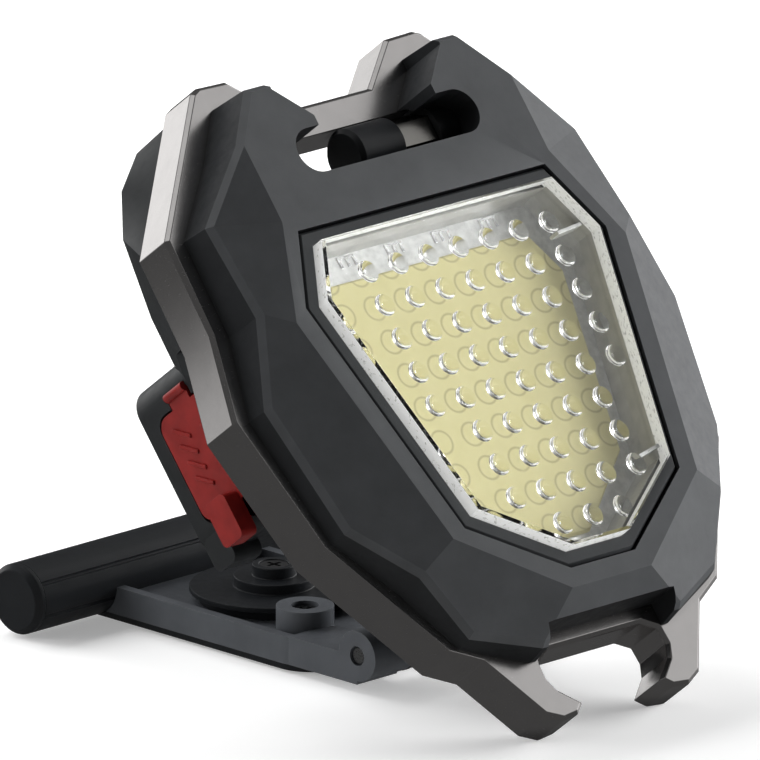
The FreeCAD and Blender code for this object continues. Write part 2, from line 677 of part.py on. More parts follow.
def port_cover():
    """Rubber cover: plate, bead it turns on, pull tab below and a nub in the socket."""
    plate = cover_prism(0, -BLOCK_HALF - COVER_PROUD, -BLOCK_HALF + COVER_T)
    tab = rounded_box(-BLOCK_HALF - PULL_TAB_OUT, -BLOCK_HALF - SNUG, PORT_Y - PULL_TAB_HALF,
                      PORT_Y + PULL_TAB_HALF, *PULL_TAB_Z, 0.6, X_AXIS)
    nub = rounded_box(-BLOCK_HALF + COVER_T - 0.2, SOCKET_X[0] + PAST, PORT_Y - 0.95, PORT_Y + 0.95,
                      PORT_Z - 3.7, PORT_Z + 3.7, 0.7, X_AXIS)
    return plate.fuse([tab, nub, cover_bead(0)]).removeSplitter()


def button_slab(x0, x1, margin):
    """Box around the button's outline, larger by a margin."""
    half_w = BUTTON_W / 2 + margin
    half_l = BUTTON_LEN / 2 + margin
    return box(x0, x1, PORT_Y - half_w, PORT_Y + half_w, PORT_Z - half_l, PORT_Z + half_l)


def power_button():
    """Rubber button with an inner flange that keeps it in and a post over the switch."""
    outer = BLOCK_HALF + BUTTON_PROUD
    cap = button_slab(BLOCK_CAVITY_HALF - 0.2, outer, 0)
    cap = cap.makeFillet(OPENING_CORNER - SLACK, edges_along(cap, X_AXIS))
    cap = cap.makeFillet(0.4, edges_at(cap, X_AXIS, outer))
    flange = button_slab(BLOCK_CAVITY_HALF - 0.6, BLOCK_CAVITY_HALF - SLACK / 2, 0.55)
    post_start = STEM_END + BUTTON_TRAVEL + SLACK / 2
    post = rod(0.8, V(post_start, PORT_Y, PORT_Z), X_AXIS, BLOCK_CAVITY_HALF - post_start)
    return cap.fuse([flange, post]).removeSplitter()


def bit_sleeve():
    """Plastic socket in the right shoulder that holds the driver bit."""
    body = box(SLEEVE_START, SLEEVE_END, 0, SLEEVE_DEPTH, FRAME_SLOT[0] + SLACK / 2, FRAME_SLOT[1] - SLACK / 2)
    crown = rod(BIT_CHANNEL_R - SLACK / 2, V(SLEEVE_START, BIT_Y, BIT_Z), X_AXIS, SLEEVE_END - SLEEVE_START)
    body = body.fuse(crown.common(box(0, FAR, FACE_Y, 0, 0, FAR)))
    bore_start = SLEEVE_START - PAST
    bore = hex_rod(BIT_HEX + SLACK, V(bore_start, BIT_Y, BIT_Z), BIT_END + 0.3 - bore_start)
    return body.cut(bore).removeSplitter()


def driver_bit():
    """Hexagonal bit; its first length sits inside the collar and its end is chamfered."""
    start = BIT_COLLAR_END - BIT_ENGAGED
    taper_start = BIT_END - BIT_TIP_CHAMFER
    shank = hex_rod(BIT_HEX, V(start, BIT_Y, BIT_Z), BIT_END - start)
    taper = Part.makeCone(BIT_HEX / 2 + 0.35, BIT_HEX / 2 - 0.35, BIT_TIP_CHAMFER,
                          V(taper_start, BIT_Y, BIT_Z), X_AXIS)
    straight = rod(BIT_HEX, V(start, BIT_Y, BIT_Z), X_AXIS, taper_start - start)
    return shank.common(straight.fuse(taper))


def bit_collar():
    collar = rod(BIT_COLLAR_R, V(BIT_START, BIT_Y, BIT_Z), X_AXIS, BIT_COLLAR_END - BIT_START)
    collar = collar.makeChamfer(BIT_COLLAR_CHAMFER, edges_at(collar, X_AXIS, BIT_START))
    bore_start = BIT_COLLAR_END - BIT_ENGAGED - SNUG
    return collar.cut(hex_rod(BIT_HEX + 2 * SNUG, V(bore_start, BIT_Y, BIT_Z), BIT_ENGAGED + PAST))


# ---- stand ----

def stand_outline(z0, z1, inset):
    """Tray outline with rounded front corners, running back under the foot bar."""
    front = STAND_FRONT + inset
    half = STAND_HALF - inset
    block = box(-half, half, front, BAR_Y, z0, z1)
    corners = [e for e in edges_along(block, Z_AXIS) if e.CenterOfMass.y < 0]
    return block.makeFillet(STAND_CORNER - inset, corners)


def bar_space(clearance):
    return rod(BAR_R + clearance, V(-BAR_HALF - 1, BAR_Y, BAR_Z), X_AXIS, 2 * BAR_HALF + 2)


def knuckle(x0, x1):
    barrel = rod(KNUCKLE_R, V(x0, HINGE_Y, HINGE_Z), X_AXIS, x1 - x0)
    arm = box(x0, x1, HINGE_Y, STAND_FRONT + 3.0, BASE_T, HINGE_Z)
    return barrel.fuse(arm)


def stand_plate():
    """Shallow tray with two hinge knuckles, two screw bosses and a seat for the foot bar."""
    body = stand_outline(BASE_T, RIM_Z, 0)
    body = body.cut(stand_outline(FLOOR_Z, RIM_Z + PAST, RIM_W))
    for side in (-1, 1):
        x0, x1 = sorted((side * KNUCKLE_START, side * KNUCKLE_END))
        body = body.fuse(knuckle(x0, x1))
        body = body.fuse(rod(BOSS_R, V(side * BOSS_X, BOSS_Y, BASE_T), Z_AXIS, BOSS_TOP - BASE_T))
        body = body.cut(rod(BOSS_SCREW_R + SLACK, V(side * BOSS_X, BOSS_Y, 0), Z_AXIS, BOSS_TOP))
        body = body.cut(rod(BOSS_SCREW_HEAD_R + SLACK, V(side * BOSS_X, BOSS_Y, BOSS_SEAT), Z_AXIS, PAST))
    magnet_bay = rod(MAGNET_R + 0.4, V(0, 0, 0), Z_AXIS, BASE_T + MAGNET_BAY_T)
    screw_bore = rod(MAGNET_SCREW_R + SLACK, V(0, 0, 0), Z_AXIS, RIM_Z)
    body = body.cut(magnet_bay).cut(screw_bore).cut(bar_space(SNUG))
    pin_hole = rod(PIN_R + SNUG, V(-FAR, HINGE_Y, HINGE_Z), X_AXIS, 2 * FAR)
    return body.cut(pin_hole).removeSplitter()


def base_cover():
    """Thin bottom plate that closes the magnet bay; its underside is the resting face."""
    plate = stand_outline(0, BASE_T, 0.15)
    plate = plate.cut(bar_space(SLACK / 2))
    plate = plate.cut(rod(0.45, V(0, 0, -PAST), Z_AXIS, BASE_T + 2 * PAST))
    for side in (-1, 1):
        plate = plate.cut(rod(BOSS_SCREW_R + SNUG, V(side * BOSS_X, BOSS_Y, -PAST), Z_AXIS, BASE_T + 2 * PAST))
    return plate


def magnet():
    ring = rod(MAGNET_R, V(0, 0, BASE_T + SNUG), Z_AXIS, MAGNET_T)
    return ring.cut(rod(MAGNET_HOLE_R, V(0, 0, 0), Z_AXIS, RIM_Z))


def magnet_keeper():
    """Steel washer over the magnet that doubles its pull."""
    ring = rod(KEEPER_R, V(0, 0, BASE_T + MAGNET_T + 2 * SNUG), Z_AXIS, KEEPER_T)
    return ring.cut(rod(MAGNET_HOLE_R, V(0, 0, 0), Z_AXIS, RIM_Z))


def magnet_retainer():
    """Stepped disc on the tray floor that the magnet's screw pulls down."""
    steps = [rod(radius, V(0, 0, FLOOR_Z + bottom), Z_AXIS, top - bottom)
             for radius, bottom, top in DISC_STEPS]
    body = steps[0].fuse(steps[1:]).removeSplitter()
    body = body.cut(rod(MAGNET_SCREW_R + SLACK, V(0, 0, 0), Z_AXIS, FAR))
    return body.cut(rod(MAGNET_SCREW_HEAD_R + SLACK / 2, V(0, 0, FLOOR_Z + DISC_SEAT), Z_AXIS, FAR))


def low_screw(x, y, bottom, seat, shank_r, head_r, drive):
    """Small screw with a low cylindrical head, standing upright."""
    shank = rod(shank_r, V(x, y, bottom), Z_AXIS, seat - bottom)
    head = rod(head_r, V(x, y, seat), Z_AXIS, LOW_HEAD_T)
    recess = cross_recess(V(x, y, seat + LOW_HEAD_T + SNUG), V(0, 0, -1), drive, 0.35)
    return shank.fuse(head).cut(recess)


def magnet_screw():
    return low_screw(0, 0, BASE_T + 0.05, FLOOR_Z + DISC_SEAT, MAGNET_SCREW_R, MAGNET_SCREW_HEAD_R, 1.6)


def stand_screws():
    screws = [low_screw(side * BOSS_X, BOSS_Y, 0.05, BOSS_SEAT, BOSS_SCREW_R, BOSS_SCREW_HEAD_R, 1.5)
              for side in (-1, 1)]
    return Part.makeCompound(screws)


def foot_bar():
    """Cross tube that widens the stand's foot, with lengthwise grip lines."""
    tube = rod(BAR_R, V(-BAR_HALF + CAP_T, BAR_Y, BAR_Z), X_AXIS, 2 * (BAR_HALF - CAP_T))
    for angle in GRIP_LINES:
        y = BAR_Y + BAR_R * math.cos(math.radians(angle))
        z = BAR_Z + BAR_R * math.sin(math.radians(angle))
        tube = tube.cut(rod(GRIP_LINE_R, V(-BAR_HALF, y, z), X_AXIS, 2 * BAR_HALF))
    return tube.cut(rod(BAR_BORE_R, V(-BAR_HALF, BAR_Y, BAR_Z), X_AXIS, 2 * BAR_HALF))


def bar_end_caps():
    caps = []
    for side in (-1, 1):
        outer = V(side * BAR_HALF, BAR_Y, BAR_Z)
        cap = rod(BAR_R, outer, X_AXIS * -side, CAP_T)
        cap = cap.makeChamfer(CAP_CHAMFER, edges_at(cap, X_AXIS, outer.x))
        plug = rod(BAR_BORE_R - SNUG, outer, X_AXIS * -side, CAP_T + CAP_PLUG)
        caps.append(cap.fuse(plug).removeSplitter())
    return Part.makeCompound(caps)


def hinge_pin():
    end = KNUCKLE_END - 0.2
    pin = rod(PIN_R, V(-end, HINGE_Y, HINGE_Z), X_AXIS, 2 * end)
    return pin.makeChamfer(0.2, edges_at(pin, X_AXIS, -end) + edges_at(pin, X_AXIS, end))


def hinge_washers():
    """Two washers in the gaps between the head's lug and the stand's knuckles."""
    washers = []
    thickness = KNUCKLE_START - LUG_HALF - 0.05
    for side in (-1, 1):
        start = V(side * (LUG_HALF + 0.03), HINGE_Y, HINGE_Z)
        washer = rod(KNUCKLE_R + 0.05, start, X_AXIS * side, thickness)
        washers.append(washer.cut(rod(PIN_R + SNUG, V(-FAR, HINGE_Y, HINGE_Z), X_AXIS, 2 * FAR)))
    return Part.makeCompound(washers)


# ---- write every sub-part ----

HEAD_PARTS = [metal_frame, front_bezel, lens, lens_trim_ring, lens_gasket, reflector_frame, cob_board,
              phosphor_panel, heat_spreader, led_wires, battery_foam, battery_cell, battery_wires,
              control_board, board_components, usb_socket_shell, usb_socket_tongue, power_switch,
              rear_case, case_screws, port_cover, power_button, bit_sleeve, driver_bit, bit_collar]
STAND_PARTS = [stand_plate, base_cover, magnet, magnet_keeper, magnet_retainer, magnet_screw,
               stand_screws, foot_bar, bar_end_caps, hinge_pin, hinge_washers]

for make in HEAD_PARTS:
    save(make.__name__, make(), in_head=True)
for make in STAND_PARTS:
    save(make.__name__, make(), in_head=False)
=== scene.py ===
import json
import math

import bmesh
import bpy
from mathutils import Matrix, Vector

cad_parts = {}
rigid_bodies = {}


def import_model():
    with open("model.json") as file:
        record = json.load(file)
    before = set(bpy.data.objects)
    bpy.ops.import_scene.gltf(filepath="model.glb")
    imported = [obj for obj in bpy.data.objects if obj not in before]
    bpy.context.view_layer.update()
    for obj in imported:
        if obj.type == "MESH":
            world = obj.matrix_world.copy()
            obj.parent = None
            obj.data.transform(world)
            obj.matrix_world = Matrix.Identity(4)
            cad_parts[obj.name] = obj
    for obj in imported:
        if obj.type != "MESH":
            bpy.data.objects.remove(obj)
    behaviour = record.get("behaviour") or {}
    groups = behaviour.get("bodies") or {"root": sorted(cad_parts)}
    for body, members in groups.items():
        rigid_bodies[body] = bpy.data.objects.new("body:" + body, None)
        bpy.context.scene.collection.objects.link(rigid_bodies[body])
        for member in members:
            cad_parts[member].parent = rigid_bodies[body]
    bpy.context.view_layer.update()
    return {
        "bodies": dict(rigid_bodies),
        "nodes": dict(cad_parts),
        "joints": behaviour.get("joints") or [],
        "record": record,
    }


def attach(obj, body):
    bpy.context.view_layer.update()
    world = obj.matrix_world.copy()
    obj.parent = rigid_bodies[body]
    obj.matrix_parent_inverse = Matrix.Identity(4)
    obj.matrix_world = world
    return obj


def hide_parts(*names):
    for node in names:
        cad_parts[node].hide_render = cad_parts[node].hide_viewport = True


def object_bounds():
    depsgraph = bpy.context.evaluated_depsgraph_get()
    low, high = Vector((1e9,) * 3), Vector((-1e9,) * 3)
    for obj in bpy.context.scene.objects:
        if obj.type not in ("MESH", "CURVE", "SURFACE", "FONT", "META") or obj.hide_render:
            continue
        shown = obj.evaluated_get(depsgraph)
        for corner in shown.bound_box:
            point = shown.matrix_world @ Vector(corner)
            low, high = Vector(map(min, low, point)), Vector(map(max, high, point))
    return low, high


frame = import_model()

MM = 0.001
JOINTS = {joint["name"]: joint for joint in frame["joints"]}

# ---- the head's own axes, at rest --------------------------------------------------------
HINGE_DEPTH = 19.2 * MM      # hinge axis behind the metal frame's front face
HINGE_DROP = 15.8 * MM       # hinge axis below the head's middle
HINGE = Vector(JOINTS["head_tilt"]["pos_m"])
HEAD_X = Vector((1, 0, 0))
HEAD_Y = Vector(JOINTS["port_cover_swing"]["axis"]).normalized()
HEAD_Z = HEAD_X.cross(HEAD_Y)
HEAD_ORIGIN = HINGE - HEAD_Y * HINGE_DEPTH + HEAD_Z * HINGE_DROP
HEAD = Matrix((HEAD_X, HEAD_Y, HEAD_Z)).transposed().to_4x4()
HEAD.translation = HEAD_ORIGIN

# places in the head's own axes, in millimetres
BOARD_FRONT_Y = -1.03
PAD_START_X = -8.7
PAD_PITCH = 5.96
PAD_Z = 14.0
DOT_PITCH_X = 3.82
DOT_PITCH_Z = 3.44
DOT_TOP_Z = 11.5
# offset of the painted shadow rings from the lens dots
PAINTED_RING_SHIFT_X = -1.07
PAINTED_RING_SHIFT_Z = 0.84


# ---- material building blocks --------------------------------------------------------------

class Material:
    """A node material with short calls for its usual nodes."""

    def __init__(self, name):
        self.material = bpy.data.materials.new(name)
        self.material.use_nodes = True
        self.tree = self.material.node_tree
        self.shader = self.tree.nodes["Principled BSDF"]
        self.output = self.tree.nodes["Material Output"]
        self.coords = self.tree.nodes.new("ShaderNodeTexCoord").outputs["Object"]

    def node(self, kind, **values):
        made = self.tree.nodes.new(kind)
        for key, value in values.items():
            if key in made.inputs:
                made.inputs[key].default_value = value
            else:
                setattr(made, key, value)
        return made

    def link(self, source, target):
        self.tree.links.new(source, target)

    def set(self, **values):
        for key, value in values.items():
            self.shader.inputs[key.replace("_", " ")].default_value = value

    def noise(self, size, detail=3.0, roughness=0.6, stretch=None):
        """Noise whose blotches are about `size` metres across."""
        texture = self.node("ShaderNodeTexNoise", Scale=1.0 / size, Detail=detail, Roughness=roughness)
        source = self.coords
        if stretch:
            mapping = self.node("ShaderNodeMapping", Scale=stretch)
            self.link(source, mapping.inputs["Vector"])
            source = mapping.outputs["Vector"]
        self.link(source, texture.inputs["Vector"])
        return texture.outputs["Fac"]

    def remap(self, value, low, high, to_low, to_high):
        ranges = {"From Min": low, "From Max": high, "To Min": to_low, "To Max": to_high}
        node = self.node("ShaderNodeMapRange", **ranges)
        self.link(value, node.inputs["Value"])
        return node.outputs["Result"]

    def calc(self, operation, *inputs):
        """One math node; inputs are numbers or sockets."""
        node = self.node("ShaderNodeMath", operation=operation)
        for socket, value in zip(node.inputs, inputs):
            if isinstance(value, (int, float)):
                socket.default_value = value
            else:
                self.link(value, socket)
        return node.outputs[0]

    def along(self, direction):
        """How far a point lies along a direction, from the head's middle."""
        node = self.node("ShaderNodeVectorMath", operation="DOT_PRODUCT")
        self.link(self.coords, node.inputs[0])
        node.inputs[1].default_value = direction
        return self.calc("SUBTRACT", node.outputs["Value"], HEAD_ORIGIN.dot(direction))

    def mix(self, factor, first, second):
        """Colour mix; first and second are colours or sockets."""
        node = self.node("ShaderNodeMix", data_type="RGBA")
        self.link(factor, node.inputs["Factor"])
        for socket, value in ((node.inputs[6], first), (node.inputs[7], second)):
            if isinstance(value, (tuple, list)):
                socket.default_value = (*value[:3], 1.0)
            else:
                self.link(value, socket)
        return node.outputs[2]

    def bump(self, height, depth, strength=1.0, normal=None):
        node = self.node("ShaderNodeBump", Strength=strength, Distance=depth)
        self.link(height, node.inputs["Height"])
        if normal:
            self.link(normal, node.inputs["Normal"])
        return node.outputs["Normal"]

    def edge_mask(self, radius):
        """White where the surface turns within `radius`, for wear along edges."""
        bevel = self.node("ShaderNodeBevel", Radius=radius, samples=4)
        geometry = self.node("ShaderNodeNewGeometry")
        dot = self.node("ShaderNodeVectorMath", operation="DOT_PRODUCT")
        self.link(bevel.outputs["Normal"], dot.inputs[0])
        self.link(geometry.outputs["True Normal"], dot.inputs[1])
        return self.remap(dot.outputs["Value"], 0.995, 0.93, 0.0, 1.0)


def moulded_plastic(name, colour, worn, roughness, grain=0.16 * MM, grain_depth=0.010 * MM, wear=0.5):
    """Injection-moulded plastic: fine spark-eroded grain, faint mottling and paler rubbed edges."""
    m = Material(name)
    mottle = m.noise(3.2 * MM, detail=4.0)
    shade = m.mix(m.remap(mottle, 0.3, 0.7, 0.0, 1.0), [c * 0.90 for c in colour], [c * 1.10 for c in colour])
    rub = m.node("ShaderNodeMath", operation="MULTIPLY")
    m.link(m.edge_mask(0.22 * MM), rub.inputs[0])
    m.link(m.remap(m.noise(1.1 * MM), 0.35, 0.7, 0.15 * wear, wear), rub.inputs[1])
    m.link(m.mix(rub.outputs[0], shade, worn), m.shader.inputs["Base Color"])
    m.link(m.remap(m.noise(0.9 * MM, detail=5.0), 0.3, 0.7, roughness - 0.05, roughness + 0.07),
           m.shader.inputs["Roughness"])
    m.link(m.bump(m.noise(grain, detail=2.0), grain_depth, 0.55), m.shader.inputs["Normal"])
    m.set(Specular_IOR_Level=0.45)
    return m.material


def cast_metal(name, colour, roughness, shadow_reach=2.4 * MM):
    """Die-cast metal with a satin plating: faint clouds, fine scratches, and painted shade that darkens it
    close to its neighbours.
    """
    m = Material(name)
    # painted shade: ambient occlusion blends the base colour towards near-black close to neighbouring parts
    painted_shade_ao = m.node("ShaderNodeAmbientOcclusion", Distance=shadow_reach, samples=6)
    shade = m.remap(painted_shade_ao.outputs["AO"], 0.12, 0.62, 0.30, 1.0)
    cloud = m.remap(m.noise(2.4 * MM, detail=4.0), 0.3, 0.7, 0.95, 1.03)
    scale = m.node("ShaderNodeMath", operation="MULTIPLY")
    m.link(shade, scale.inputs[0])
    m.link(cloud, scale.inputs[1])
    m.link(m.mix(scale.outputs[0], (0.012, 0.012, 0.013), colour), m.shader.inputs["Base Color"])
    scratch = m.noise(0.30 * MM, detail=3.0, stretch=(1.0, 1.0, 9.0))
    m.link(m.remap(scratch, 0.3, 0.75, roughness - 0.03, roughness + 0.06), m.shader.inputs["Roughness"])
    m.link(m.bump(scratch, 0.0008 * MM, 0.5), m.shader.inputs["Normal"])
    m.set(Metallic=1.0)
    return m.material


def turned_steel(name, colour, roughness, stretch=(1.0, 1.0, 1.0)):
    """Machined steel with tool marks."""
    m = Material(name)
    marks = m.noise(0.12 * MM, detail=3.0, stretch=stretch)
    m.link(m.mix(m.remap(marks, 0.3, 0.7, 0.0, 1.0), [c * 0.82 for c in colour], colour),
           m.shader.inputs["Base Color"])
    m.link(m.remap(marks, 0.3, 0.7, roughness - 0.05, roughness + 0.08), m.shader.inputs["Roughness"])
    m.link(m.bump(marks, 0.002 * MM, 0.6), m.shader.inputs["Normal"])
    m.set(Metallic=1.0)
    return m.material


def silicone(name, colour, roughness):
    """Soft silicone rubber: dust-fine matte skin with a soft sheen."""
    m = Material(name)
    cloud = m.remap(m.noise(1.8 * MM, detail=5.0), 0.3, 0.7, 0.0, 1.0)
    m.link(m.mix(cloud, [c * 0.82 for c in colour], [c * 1.12 for c in colour]), m.shader.inputs["Base Color"])
    m.link(m.remap(m.noise(0.7 * MM, detail=4.0), 0.3, 0.7, roughness - 0.06, roughness + 0.08),
           m.shader.inputs["Roughness"])
    m.link(m.bump(m.noise(0.12 * MM), 0.006 * MM, 0.5), m.shader.inputs["Normal"])
    m.set(Specular_IOR_Level=0.5)
    return m.material


def let_light_through(m):
    """Let shadow rays and scattered light pass, so that what lies behind stays lit."""
    path = m.node("ShaderNodeLightPath")
    either = m.node("ShaderNodeMath", operation="MAXIMUM")
    m.link(path.outputs["Is Shadow Ray"], either.inputs[0])
    m.link(path.outputs["Is Diffuse Ray"], either.inputs[1])
    clear = m.node("ShaderNodeBsdfTransparent", Color=(0.95, 0.96, 0.96, 1.0))
    choose = m.node("ShaderNodeMixShader")
    m.link(either.outputs[0], choose.inputs[0])
    m.link(m.shader.outputs[0], choose.inputs[1])
    m.link(clear.outputs[0], choose.inputs[2])
    m.link(choose.outputs[0], m.output.inputs["Surface"])


def clear_plastic(name):
    """Clear polycarbonate with faint moulding waves."""
    m = Material(name)
    wave = m.bump(m.noise(2.2 * MM, detail=2.0), 0.010 * MM, 0.25)
    m.link(wave, m.shader.inputs["Normal"])
    m.set(Base_Color=(0.985, 0.99, 0.99, 1.0), Roughness=0.03, IOR=1.53, Transmission_Weight=1.0)
    let_light_through(m)
    return m.material


def frosted_plastic(name):
    """Ground outer rim of the lens: milky white with clear, glinting flecks and a faint painted glow."""
    m = Material(name)
    flecks = m.remap(m.noise(0.45 * MM, detail=4.0), 0.54, 0.68, 0.0, 0.75)
    m.link(m.mix(flecks, (0.82, 0.83, 0.82), (0.16, 0.16, 0.15)), m.shader.inputs["Base Color"])
    m.link(m.bump(m.noise(0.25 * MM), 0.02 * MM, 0.6), m.shader.inputs["Normal"])
    # the emission is a painted glow that makes the rim brighter; the rim is no lamp
    m.set(Roughness=0.22, Emission_Color=(1.0, 1.0, 0.97, 1.0), Emission_Strength=0.30)
    let_light_through(m)
    return m.material


def inner_wall_plastic(name):
    """Inner walls of the lens: satin grey from the cavity, clear from within the plastic."""
    m = Material(name)
    cloud = m.remap(m.noise(1.4 * MM, detail=4.0), 0.3, 0.7, 0.0, 1.0)
    m.link(m.mix(cloud, (0.38, 0.375, 0.35), (0.46, 0.455, 0.43)), m.shader.inputs["Base Color"])
    m.link(m.bump(m.noise(0.6 * MM), 0.02 * MM, 0.4), m.shader.inputs["Normal"])
    m.set(Roughness=0.30)
    back = m.node("ShaderNodeNewGeometry").outputs["Backfacing"]
    clear = m.node("ShaderNodeBsdfTransparent", Color=(0.96, 0.96, 0.95, 1.0))
    choose = m.node("ShaderNodeMixShader")
    m.link(back, choose.inputs[0])
    m.link(m.shader.outputs[0], choose.inputs[1])
    m.link(clear.outputs[0], choose.inputs[2])
    m.link(choose.outputs[0], m.output.inputs["Surface"])
    return m.material


def painted_dot_shadow_rings(m, radius, width):
    """Mask of painted shadow rings on the gel, standing in for the rings that the lens dots throw, one for each
    dot.
    """
    squares = []
    grid = ((HEAD_X, PAINTED_RING_SHIFT_X, DOT_PITCH_X), (HEAD_Z, DOT_TOP_Z + PAINTED_RING_SHIFT_Z, DOT_PITCH_Z))
    for direction, start, pitch in grid:
        steps = m.calc("MULTIPLY_ADD", m.along(direction), 1.0 / (pitch * MM), -start / pitch)
        offset = m.calc("SUBTRACT", steps, m.calc("ROUND", steps))
        squares.append(m.calc("POWER", m.calc("MULTIPLY", m.calc("ABSOLUTE", offset), pitch), 2.0))
    distance = m.calc("SQRT", m.calc("ADD", *squares))
    off_ring = m.calc("ABSOLUTE", m.calc("SUBTRACT", distance, radius))
    return m.remap(off_ring, 0.0, width, 1.0, 0.0)


def phosphor_gel(name):
    """Cast phosphor gel: pale yellow, slightly cloudy, with a faint painted glow, though the lamp is off."""
    m = Material(name)
    cloud = m.remap(m.noise(1.3 * MM, detail=4.0), 0.3, 0.7, 0.0, 1.0)
    gel = m.mix(cloud, (0.66, 0.60, 0.29), (0.69, 0.63, 0.32))
    # painted shadow: each ring darkens the gel colour and its glow
    ring = m.calc("MULTIPLY", painted_dot_shadow_rings(m, 1.15, 0.18), 0.75)
    colour = m.mix(ring, gel, (0.36, 0.31, 0.13))
    m.link(colour, m.shader.inputs["Base Color"])
    m.link(colour, m.shader.inputs["Emission Color"])
    m.link(m.bump(m.noise(0.5 * MM), 0.02 * MM, 0.3), m.shader.inputs["Normal"])
    # the emission strength gives the painted glow
    m.set(Roughness=0.42, Emission_Strength=0.14)
    return m.material


def board_mask(name):
    """White solder mask on an aluminium board, with faint silver clouding."""
    m = Material(name)
    cloud = m.remap(m.noise(0.8 * MM, detail=6.0), 0.35, 0.65, 0.0, 1.0)
    m.link(m.mix(cloud, (0.70, 0.70, 0.69), (0.92, 0.92, 0.91)), m.shader.inputs["Base Color"])
    m.link(m.bump(m.noise(0.3 * MM), 0.01 * MM, 0.4), m.shader.inputs["Normal"])
    m.set(Roughness=0.35, Metallic=0.25)
    return m.material


def plain_board(name, colour, roughness, metallic=0.0):
    """Hidden parts: flat colour broken by mottling and a light surface texture."""
    m = Material(name)
    cloud = m.remap(m.noise(1.5 * MM, detail=4.0), 0.3, 0.7, 0.0, 1.0)
    m.link(m.mix(cloud, [c * 0.8 for c in colour], [min(1.0, c * 1.15) for c in colour]),
           m.shader.inputs["Base Color"])
    m.link(m.bump(m.noise(0.2 * MM), 0.006 * MM, 0.4), m.shader.inputs["Normal"])
    m.set(Roughness=roughness, Metallic=metallic)
    return m.material


BEZEL = moulded_plastic("bezel_plastic", (0.060, 0.0625, 0.066), (0.11, 0.114, 0.12), 0.38, wear=0.35)
# painted shade: a darker copy of the bezel plastic for its side walls
BEZEL_SIDE_PAINTED_SHADE = moulded_plastic("bezel_side_painted_shade_plastic", (0.014, 0.015, 0.0165), (0.05, 0.052, 0.055), 0.55, wear=0.2)
TRIM = moulded_plastic("trim_plastic", (0.030, 0.032, 0.034), (0.10, 0.105, 0.11), 0.40, wear=0.35)
CASE = moulded_plastic("case_plastic", (0.018, 0.0195, 0.0205), (0.06, 0.063, 0.066), 0.40, wear=0.35)
STAND = moulded_plastic("stand_plastic", (0.010, 0.011, 0.0125), (0.06, 0.063, 0.066), 0.38, wear=0.35)
TRAY = moulded_plastic("tray_plastic", (0.070, 0.075, 0.083), (0.13, 0.135, 0.14), 0.40, wear=0.35)
# the frame metal carries painted shade close to its neighbours
FRAME_METAL = cast_metal("frame_metal", (0.66, 0.64, 0.63), 0.22)
BIT_STEEL = turned_steel("bit_steel", (0.36, 0.35, 0.33), 0.16, (40.0, 1.0, 1.0))
PIN_STEEL = turned_steel("pin_steel", (0.50, 0.50, 0.50), 0.28)
SCREW_STEEL = turned_steel("screw_steel", (0.30, 0.30, 0.31), 0.32)
SOCKET_METAL = turned_steel("socket_metal", (0.62, 0.62, 0.62), 0.25)
MAGNET_METAL = turned_steel("magnet_metal", (0.66, 0.66, 0.66), 0.15)
RED_SILICONE = silicone("red_silicone", (0.215, 0.012, 0.010), 0.40)
BLACK_RUBBER = silicone("black_rubber", (0.022, 0.022, 0.023), 0.55)
LENS_CLEAR = clear_plastic("lens_clear")
# painted highlight: the clear ribs get an opaque pale colour so they show as bright lines
RIB_PAINTED_HIGHLIGHT = plain_board("lens_rib_painted_highlight", (0.70, 0.70, 0.68), 0.18)
LENS_FROSTED_PAINTED_GLOW = frosted_plastic("lens_frosted_painted_glow")
LENS_INNER = inner_wall_plastic("lens_inner_wall")
PHOSPHOR_PAINTED_GLOW = phosphor_gel("phosphor_gel")
BOARD_WHITE = board_mask("board_white")
REFLECTOR = plain_board("reflector_satin", (0.46, 0.455, 0.43), 0.28)
ALUMINIUM = plain_board("spreader_aluminium", (0.62, 0.62, 0.62), 0.35, 1.0)
FOIL = plain_board("cell_foil", (0.50, 0.52, 0.55), 0.35, 0.9)
FOAM = plain_board("foam_black", (0.05, 0.05, 0.05), 0.9)
CIRCUIT = plain_board("circuit_green", (0.02, 0.12, 0.05), 0.35)
CHIP = plain_board("chip_black", (0.02, 0.02, 0.02), 0.5)
WIRE = plain_board("wire_red", (0.42, 0.02, 0.02), 0.4)
SOLDER = turned_steel("solder_tin", (0.72, 0.72, 0.73), 0.22)


# ---- pieces from the CAD nodes -------------------------------------------------------------------

def paint(piece, material):
    piece.data.materials.clear()
    piece.data.materials.append(material)


def cleaned(node):
    """Mesh of a CAD node with its split corners welded and its flat triangles joined."""
    mesh = bmesh.new()
    mesh.from_mesh(frame["nodes"][node].data)
    bmesh.ops.remove_doubles(mesh, verts=mesh.verts, dist=0.002 * MM)
    bmesh.ops.dissolve_limit(mesh, angle_limit=math.radians(0.6), verts=mesh.verts, edges=mesh.edges)
    return mesh


def add_object(name, mesh, material, body):
    data = bpy.data.meshes.new(name)
    mesh.normal_update()
    mesh.to_mesh(data)
    mesh.free()
    piece = bpy.data.objects.new(name, data)
    bpy.context.scene.collection.objects.link(piece)
    data.materials.append(material)
    for polygon in data.polygons:
        polygon.use_smooth = True
    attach(piece, body)
    return piece


BODY_OF = {node: body for body, members in frame["record"]["behaviour"]["bodies"].items() for node in members}


def is_wall(face):
    """True for faces that run straight from front to back of the head."""
    return abs(face.normal.dot(HEAD_Y)) < 0.01


def keep_folds(mesh, angle):
    """Keep every fold above the angle crisp, but let rounded walls stay smooth."""
    for edge in mesh.edges:
        if len(edge.link_faces) != 2:
            continue
        turn = math.degrees(edge.calc_face_angle(0.0))
        rounded = turn < 25.0 and all(is_wall(face) for face in edge.link_faces)
        edge.smooth = turn < angle or rounded


